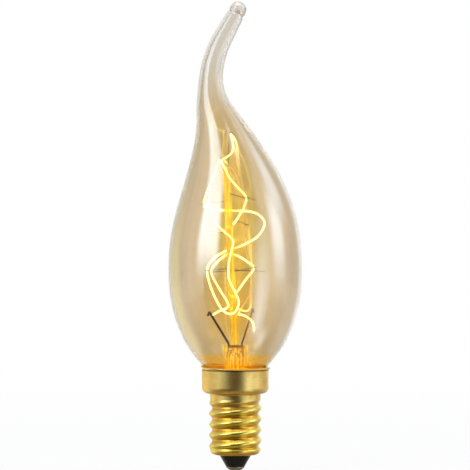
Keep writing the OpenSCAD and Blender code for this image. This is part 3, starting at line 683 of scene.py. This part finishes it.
def brassPaint():
    k = brassLook
    p = Paint("satinBrass")
    sheet = p.uv("sheetMap")
    fine = p.noise(*k["fine"], p.scaled(k["fineScale"], sheet))
    broad = p.noise(*k["broad"], p.scaled(k["broadScale"], sheet))
    stain = p.noise(*k["stain"]).rise(*k["stainEdge"])
    x, y, z = p.parts(p.coords)
    thread = 1 - z.climb(k["threadEdge"])
    # painted highlight on the thread's crests and painted shade in its valleys
    crest = ((x * x + y * y) ** 0.5).climb([capSizes["root"] + e for e in k["crestEdge"]])
    rolled = p.blend(crest, k["valleyShade"], k["crest"])
    clean = p.blend(thread, k["plain"], rolled)
    aged = p.blend(broad * k["agedShare"], clean, k["aged"])
    worn = p.blend(stain * k["wornShare"], aged, k["worn"])
    # painted highlight along the flared rim
    flare = p.blend(z.climb(k["flareHighlightEdge"]), worn, k["flare"])
    # painted shadow: a dark line just under the flared lip
    lipShadow = z.climb(k["lipShadowEdge"]) * (1 - z.climb(k["flareHighlightEdge"]))
    colour = p.blend(lipShadow * k["lipShadowShare"], flare, k["lipShadow"])
    rough = (fine * k["fineRough"] + stain * k["stainRough"] + k["rough"]
             + k["plainRough"] * (1 - thread))
    height = fine * k["fineHeight"] + p.noise(*k["pits"]) * k["pitHeight"]
    return p.done(p.surface({"Base Color": colour, "Metallic": 1.0, "Roughness": rough,
                             "Normal": p.bump(height, *k["bump"])}))


cap = capPiece()
seat(cap, "brass_sheet", "cap_shell")
print("cap rolled,", len(cap.data.polygons), "faces")


# materials for the CAD nodes that stay
def dress(material, *names):
    for name in names:
        nodes[name].data.materials.clear()
        nodes[name].data.materials.append(material)


rodLook = {
    "light": (1.0, 0.9, 0.02), "dark": (0.7, 0.42, 0.0), "crack": (0.3, 0.13, 0.0),
    "strength": 0.65, "clear": (0.1, 0.04, 0.0), "glowFoot": (36, 52), "least": 0.4,
    "sides": (0.3, 0.75),
}
stemLook = {
    "light": (1.0, 0.86, 0.1), "dark": (0.42, 0.23, 0.0), "crack": (0.12, 0.05, 0.0),
    "strength": 0.42, "leftEdge": (1.0, 1.15, 0.1), "rightEdge": (1.05, 1.2, 0.5),
    "middle": (-1, 1), "edgeSide": (2.3, 3.1), "edgeFoot": (31.2, 32.0),
    "topShadeGlow": (0.02, 0.0, 0.0), "topShadeTint": (0.1, 0.01, 0.0), "topShadeShare": 0.9,
    "topShadeFoot": (32.2, 32.5), "topShadeSide": (1.7, 2.2),
}
drawnGlass = {
    "streakScale": (1900, 1900, 45), "streak": (1.0, 3, 0.6), "streakEdge": (0.4, 0.6),
    "crackScale": (1500, 1500, 300), "crack": (1.0, 4, 0.6), "crackEdge": (0.54, 0.62),
    "rough": 0.02, "bend": 1.5, "gloss": 0.15, "bump": (0.5, 0.1), "shade": (0.95, 0.8, 0.4),
}


def rodLight(p, tint, glow):  # painted glow: the filament's light in the rod, fading towards its foot, with painted shade at its sides
    k = rodLook
    z = p.parts(p.coords)[2]
    least, most = k["least"], 1 - k["least"]
    rodGlowShare = ((z.climb(k["glowFoot"]) * most + least)
           * (p.facing().rise(*k["sides"]) * most + least))
    return tint, p.blend(rodGlowShare, k["clear"], glow)


def stemLight(p, tint, glow):  # painted light in the pinch's rounded edges, and painted shade along its top edge
    k = stemLook
    x, z = p.parts(p.coords)[::2]
    paintedEdgeLight = x.size().climb(k["edgeSide"]) * z.climb(k["edgeFoot"])
    glow = p.blend(paintedEdgeLight, glow, p.blend(x.climb(k["middle"]), k["leftEdge"], k["rightEdge"]))
    topShade = z.climb(k["topShadeFoot"]) * (1 - x.size().climb(k["topShadeSide"]))
    return p.blend(topShade * k["topShadeShare"], tint, k["topShadeTint"]), p.blend(topShade, glow, k["topShadeGlow"])


def drawnGlassPaint(name, look, light):
    k = drawnGlass
    p = Paint(name)
    streaks = p.noise(*k["streak"], p.scaled(k["streakScale"])).rise(*k["streakEdge"])
    cracks = p.noise(*k["crack"], p.scaled(k["crackScale"])).rise(*k["crackEdge"])
    tint = p.blend(streaks, look["dark"], look["light"])
    tint, glow = light(p, tint, p.blend(cracks, tint, look["crack"]))
    # painted glow: the golden tint and the emission stand in for the filament's light caught in
    # the glass
    glass = p.surface({"Base Color": tint, "Roughness": k["rough"], "IOR": k["bend"],
                       "Transmission Weight": 1.0, "Specular IOR Level": k["gloss"],
                       "Normal": p.bump(streaks, *k["bump"]),
                       "Emission Color": glow, "Emission Strength": look["strength"]})
    return p.done(p.mixed(p.ray("Is Shadow Ray"), glass, p.clear(k["shade"])))


dress(drawnGlassPaint("rodGlass", rodLook, rodLight), "arbor_rod")
dress(drawnGlassPaint("stemGlass", stemLook, stemLight), "flare_stem", "exhaust_tube")

wireLooks = {  # light and dark colour, roughness, metal and gloss
    "hookWire": ((0.1, 0.07, 0.05), (0.03, 0.02, 0.015), 0.5, 0.0, 0.5),
    "leadWire": ((0.07, 0.004, 0.001), (0.03, 0.001, 0.0), 0.6, 0.0, 0.1),
    "rightLeadWire": ((0.3, 0.13, 0.02), (0.14, 0.05, 0.01), 0.6, 0.0, 0.1),
    "sealWire": ((0.2, 0.03, 0.01), (0.08, 0.01, 0.0), 0.35, 0.0, 0.2),
    "copperWire": ((0.75, 0.36, 0.2), (0.5, 0.2, 0.1), 0.3, 1.0, 0.5),
    "fuseWire": ((0.6, 0.6, 0.6), (0.4, 0.4, 0.4), 0.3, 1.0, 0.5),
    "contactMetal": ((0.42, 0.41, 0.38), (0.25, 0.24, 0.22), 0.34, 1.0, 0.5),
}
drawnWire = {"scale": (3000, 3000, 400), "grain": (1.0, 4, 0.6), "rough": 0.2, "bump": (0.2, 0.02)}


def wirePaint(name):
    k = drawnWire
    light, dark, rough, metal, gloss = wireLooks[name]
    p = Paint(name)
    grain = p.noise(*k["grain"], p.scaled(k["scale"]))
    return p.done(p.surface({"Base Color": p.blend(grain, dark, light), "Metallic": metal,
                             "Specular IOR Level": gloss,
                             "Roughness": grain * k["rough"] + rough,
                             "Normal": p.bump(grain, *k["bump"])}))


dress(wirePaint("hookWire"), *[n for n in nodes if n.endswith("_hook")])
dress(wirePaint("rightLeadWire"), "right_inner_lead")
dress(wirePaint("sealWire"), "left_seal_wire", "right_seal_wire")
dress(wirePaint("copperWire"), "side_lead", "fuse_lead", "contact_lead")
dress(wirePaint("fuseWire"), "fuse_wire")
dress(wirePaint("contactMetal"), "contact_plate")


# left inner lead, which looks stouter than its plain wire
leadSizes = {  # knee and top are given from the pinch's top edge
    "root": 32.75, "apart": 1.72, "knee": 0.3, "top": (-6.75, -2.1, 8.7),
    "tip": (-0.4, -0.1, -1.1), "inGlass": 0.23, "free": 0.3, "round": 0.35, "bendSteps": 6,
    "sides": 12,
}


def leadPiece():
    c = leadSizes
    root = Vector((-c["apart"], 0, c["root"]))
    knee = Vector((-c["apart"], 0, c["knee"])) + pressTop
    top = Vector(c["top"]) + pressTop
    corners = [root, knee, top, top + Vector(c["tip"])]
    path = [(root, c["inGlass"]), (knee - Vector((0, 0, c["round"])), c["inGlass"])]
    for before, corner, after in zip(corners, corners[1:], corners[2:]):
        start = corner + (before - corner).normalized() * c["round"]
        end = corner + (after - corner).normalized() * c["round"]
        for i in range(c["bendSteps"]):
            t = (i + 1) / c["bendSteps"]
            place = (1 - t) ** 2 * start + 2 * t * (1 - t) * corner + t * t * end
            path.append((place, c["free"]))
    path.append((corners[3], c["free"]))
    side = Vector((0, 1, 0))
    rings = []
    for i, (place, r) in enumerate(path):
        along = (path[min(i + 1, len(path) - 1)][0] - path[max(i - 1, 0)][0]).normalized()
        across = along.cross(side).normalized()
        up = along.cross(across)
        rings.append([(place + (across * math.cos(a) + up * math.sin(a)) * r) * mm
                      for a in steps(0, 2 * math.pi, c["sides"])])
    points, faces = skin(rings)
    return meshPiece("leftLead", points, faces, wirePaint("leadWire"))


seat(leadPiece(), "lead_wire", "left_inner_lead")
print("lead made")

solderLook = {
    "dark": (0.3, 0.3, 0.3), "light": (0.55, 0.55, 0.56), "marks": (1400, 4, 0.6),
    "rough": 0.25, "markRough": 0.3, "bump": (0.5, 0.06),
}
blackLook = {
    "dark": (0.006, 0.006, 0.006), "light": (0.014, 0.013, 0.012), "ripples": (260, 3, 0.5),
    "pits": (1500, 3, 0.6), "gloss": 0.2, "rough": 0.2, "rippleRough": 0.16,
    "rippleHeight": 0.7, "pitHeight": 0.3, "bump": (0.3, 0.08),
}
cementLook = {
    "dark": screen(150, 98, 40), "light": screen(214, 158, 78), "grit": (1800, 5, 0.7),
    "rough": 0.85, "bump": (0.8, 0.1), "glow": (0.85, 0.5, 0.05), "strength": 0.45,
}


def solderPaint():
    k = solderLook
    p = Paint("solder")
    marks = p.noise(*k["marks"])
    return p.done(p.surface({"Base Color": p.blend(marks, k["dark"], k["light"]),
                             "Metallic": 1.0, "Roughness": marks * k["markRough"] + k["rough"],
                             "Normal": p.bump(marks, *k["bump"])}))


def blackGlassPaint():
    k = blackLook
    p = Paint("blackGlass")
    pits = p.noise(*k["pits"])
    ripples = p.noise(*k["ripples"])
    height = ripples * k["rippleHeight"] + pits * k["pitHeight"]
    return p.done(p.surface({"Base Color": p.blend(ripples, k["dark"], k["light"]),
                             "Specular IOR Level": k["gloss"],
                             "Roughness": ripples * k["rippleRough"] + k["rough"],
                             "Normal": p.bump(height, *k["bump"])}))


def cementPaint():  # with some of the filament's light in it
    k = cementLook
    p = Paint("cement")
    grit = p.noise(*k["grit"])
    return p.done(p.surface({"Base Color": p.blend(grit, k["dark"], k["light"]),
                             "Roughness": k["rough"], "Normal": p.bump(grit, *k["bump"]),
                             "Emission Color": k["glow"], "Emission Strength": k["strength"]}))


dress(solderPaint(), "contact_solder", "side_solder")
dress(blackGlassPaint(), "cap_insulator")
dress(cementPaint(), "capping_cement")
print("CAD nodes dressed")


# studio
stageSizes = {
    "reach": 4000, "drop": -0.3, "matt": (0.9, 0.9, 0.9), "plain": 0.94, "fade": (60, 500),
    "skySeen": 0.44, "skyRest": 0.56, "behind": 100,
}
white = (1.0, 1.0, 1.0)
cool = (0.8, 0.95, 1.1)


def stagePaint():  # shows the background's white, and keeps a soft shadow
    k = stageSizes
    p = Paint("floorPaint")
    shown = p.ray("Is Camera Ray").most(p.ray("Is Transmission Ray"))
    matt = p.add("ShaderNodeBsdfDiffuse", None, {"Color": (*k["matt"], 1)})
    away = p.add("ShaderNodeVectorMath", {"operation": "LENGTH"}, {0: p.coords}, out="Value")
    whole = k["plain"] + (1 - k["plain"]) * away.climb(k["fade"])
    return p.done(p.mixed(shown * whole, matt, p.glow(white, 1.0)))


def floorPiece():
    reach, drop = stageSizes["reach"] * mm, stageSizes["drop"] * mm
    corners = [(-reach, -reach, drop), (reach, -reach, drop), (reach, reach, drop),
               (-reach, reach, drop)]
    piece = meshPiece("floor", corners, [(0, 1, 2, 3)], stagePaint())
    piece.visible_glossy = False


def sky():
    world = bpy.data.worlds.new("studio")
    world.use_nodes = True
    scene.world = world
    air = Tree(world.node_tree)
    air.tree.nodes.clear()
    seen = air.ray("Is Camera Ray").most(air.ray("Is Glossy Ray"))
    seen = seen.most(air.ray("Is Transmission Ray"))
    strength = seen * stageSizes["skySeen"] + stageSizes["skyRest"]
    light = air.add("ShaderNodeBackground", None, {"Color": (*white, 1), "Strength": strength})
    air.add("ShaderNodeOutputWorld", None, {"Surface": light})


def panel(name, corners, paint, *hidden):  # a board that some kinds of ray don't see
    piece = meshPiece(name, corners, [(0, 1, 2, 3)], paint, smooth=False)
    layer = piece.data.uv_layers.new(name="boardMap")
    for corner, place in zip(layer.data, ((0, 0), (1, 0), (1, 1), (0, 1))):
        corner.uv = place
    for kind in ("camera", "shadow", *hidden):
        setattr(piece, "visible_" + kind, False)


def upright(name, angle, distance, low, high, width, paint, *hidden):  # 0 is the camera's side
    a = math.radians(angle)
    centre = Vector((distance * math.sin(a), -distance * math.cos(a), 0)) * mm
    across = Vector((math.cos(a), math.sin(a), 0)) * (width / 2 * mm)
    corners = [(centre - across, low), (centre + across, low), (centre + across, high),
               (centre - across, high)]
    panel(name, [Vector((q.x, q.y, h * mm)) for q, h in corners], paint, *hidden)


def level(name, low, high, height, paint):  # only glossy surfaces see it
    (x0, y0), (x1, y1) = low, high
    corners = [(x * mm, y * mm, height * mm) for x, y in ((x0, y0), (x1, y0), (x1, y1), (x0, y1))]
    panel(name, corners, paint, "transmission", "diffuse")


def boardPaint(name, colour, radiance, side, foot, head):  # soft at its sides, foot and head
    p = Paint(name + "Paint")
    u, v = p.parts(p.uv("boardMap"))[:2]
    shape = (u.rise(0, side) * (1 - u.rise(1 - side, 1)) * v.rise(0, foot)
             * (1 - v.rise(1 - head, 1)))
    return p.done(p.mixed(shape, p.clear(), p.glow(colour, radiance)))


underLook = {"dark": (0.06, 0.045, 0.03), "pale": (0.85, 0.85, 0.85), "turn": (-100, 2000),
             "reach": 2500, "height": -620}


def underPaint():  # dark in front, paler towards the back
    k = underLook
    p = Paint("underCardPaint")
    y = p.parts(p.coords)[1]
    return p.done(p.mixed(y.climb(k["turn"]), p.glow(k["dark"], 1.0), p.glow(k["pale"], 1.0)))


# angle, distance, low, high, width, then colour, radiance and how soft the edges are
lights = {
    "leftLight": ((-49, 450, 0, 640, 400), (cool, 3.2, 0.25, 0.25, 0.5)),
    "leftGlow": ((-49, 460, 0, 1300, 400), (cool, 1.5, 0.3, 0.1, 0.4)),
    "rightLight": ((80, 450, -60, 480, 320), (cool, 2.8, 0.4, 0.45, 0.5)),
    "rightGlow": ((99, 440, 120, 680, 330), (cool, 2.1, 0.4, 0.35, 0.5)),
    "lowLight": ((45, 300, -500, 260, 240), (cool, 1.9, 0.5, 0.3, 0.4)),
    "lowRight": ((66, 290, -600, -100, 230), (cool, 3.3, 0.5, 0.3, 0.5)),
    "lowLeft": ((-125, 520, -500, 320, 560), ((1.0, 0.95, 0.64), 1.1, 0.4, 0.3, 0.4)),
    "leftFill": ((-84, 500, -600, 900, 640), (white, 0.7, 0.25, 0.5, 0.3)),
    "rightFill": ((78, 500, -600, 900, 780), (white, 0.7, 0.25, 0.5, 0.3)),
}
cards = {
    "frontCard": ((0, 900, -600, 1300, 2880), ((1.0, 0.7, 0.4), 0.05, 0.05, 0.2, 0.1)),
    "leftCard": ((-118, 560, -600, 1300, 620), (white, 0.55, 0.3, 0.2, 0.1)),
    "leftEdge": ((-150, 700, -600, 1300, 560), ((1.0, 0.97, 0.86), 0.78, 0.3, 0.2, 0.1)),
    "rightCard": ((120, 560, -600, 1300, 520), (white, 0.6, 0.3, 0.2, 0.1)),
}
levels = {  # two corners and the height, then as above
    "underLight": (((-120, -120), (120, 120), -60), ((1.0, 0.8, 0.45), 0.4, 0.3, 0.3, 0.3)),
    "topCard": (((-1600, -1700), (1600, -150), 800), ((1.0, 0.8, 0.5), 0.06, 0.05, 0.05, 0.12)),
    "topLight": (((-400, -420), (400, 300), 760), (white, 2.6, 0.3, 0.3, 0.3)),
    "topFront": (((-280, -500), (280, -20), 700), (white, 3.2, 0.3, 0.25, 0.3)),
}

floorPiece()
sky()
for name, (place, look) in lights.items():
    upright(name, *place, boardPaint(name, *look), "transmission")
for name, (place, look) in cards.items():
    # those behind the glass are seen through it, as dark lines along its edges
    behind = abs(place[0]) > stageSizes["behind"]
    hidden = ["diffuse"] if behind else ["diffuse", "transmission"]
    upright(name, *place, boardPaint(name, *look), *hidden)
under = underLook["reach"]
level("underCard", (-under, -under), (under, under), underLook["height"], underPaint())
for name, (place, look) in levels.items():
    level(name, *place, boardPaint(name, *look))
print("studio lit")
